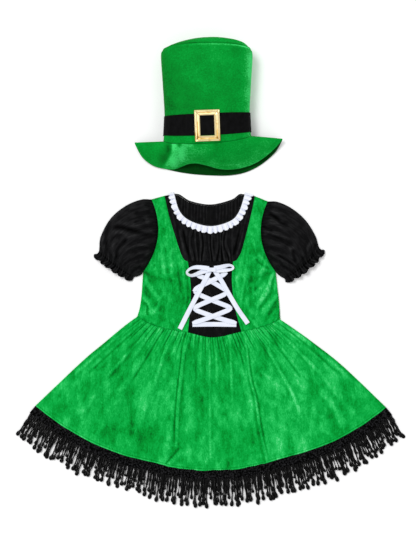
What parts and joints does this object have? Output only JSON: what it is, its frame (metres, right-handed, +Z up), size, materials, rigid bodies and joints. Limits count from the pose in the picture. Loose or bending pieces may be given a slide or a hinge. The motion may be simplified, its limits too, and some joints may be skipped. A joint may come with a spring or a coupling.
{
  "type": "leprechaun costume",
  "caption": "Green velvet costume dress laid flat, with a laced black front, puff sleeves and a fringed hem, and a tall buckled hat lying above it.",
  "frame": {"origin": "on the surface that it lies on, under the middle of the set's outline", "axes": "+Y from the skirt's hem to the top of the hat, +Z up from the surface to the camera, +X to the right of the picture"},
  "size_m": [0.8509, 1.0258, 0.088],
  "materials": {
    "green_velvet": "crushed velvet pile",
    "black_jersey": "matt",
    "white_lace": "matt",
    "white_ribbon": "satin",
    "black_fringe": "braid and beads",
    "black_ribbon": "ribbed",
    "gold_plastic": "gold-coloured, glossy"
  },
  "bodies": {
    "root": {"skirt_front": "green_velvet", "skirt_back": "green_velvet", "front_side_left": "green_velvet", "front_side_right": "green_velvet", "back_side_left": "green_velvet", "back_side_right": "green_velvet", "front_yoke": "black_jersey", "front_insert": "black_jersey", "back_centre_left": "black_jersey", "back_centre_right": "black_jersey", "sleeve_left": "black_jersey", "sleeve_right": "black_jersey", "back_zip": "black_jersey", "neck_binding_front": "black_jersey", "neck_binding_back": "black_jersey", "neck_frill": "white_lace", "lace_bar": "white_ribbon", "lace_rising_left_1": "white_ribbon", "lace_rising_left_2": "white_ribbon", "lace_rising_left_3": "white_ribbon", "lace_rising_right_1": "white_ribbon", "lace_rising_right_2": "white_ribbon", "lace_rising_right_3": "white_ribbon", "lace_tail_left": "white_ribbon", "lace_tail_right": "white_ribbon", "bow_knot": "white_ribbon", "bow_loop_left": "white_ribbon", "bow_loop_right": "white_ribbon", "fringe_front": "black_fringe", "fringe_back": "black_fringe", "hat_crown": "green_velvet", "hat_tip": "green_velvet", "hat_brim": "green_velvet", "hat_band": "black_ribbon", "hat_buckle": "gold_plastic"}
  },
  "joints": []
}
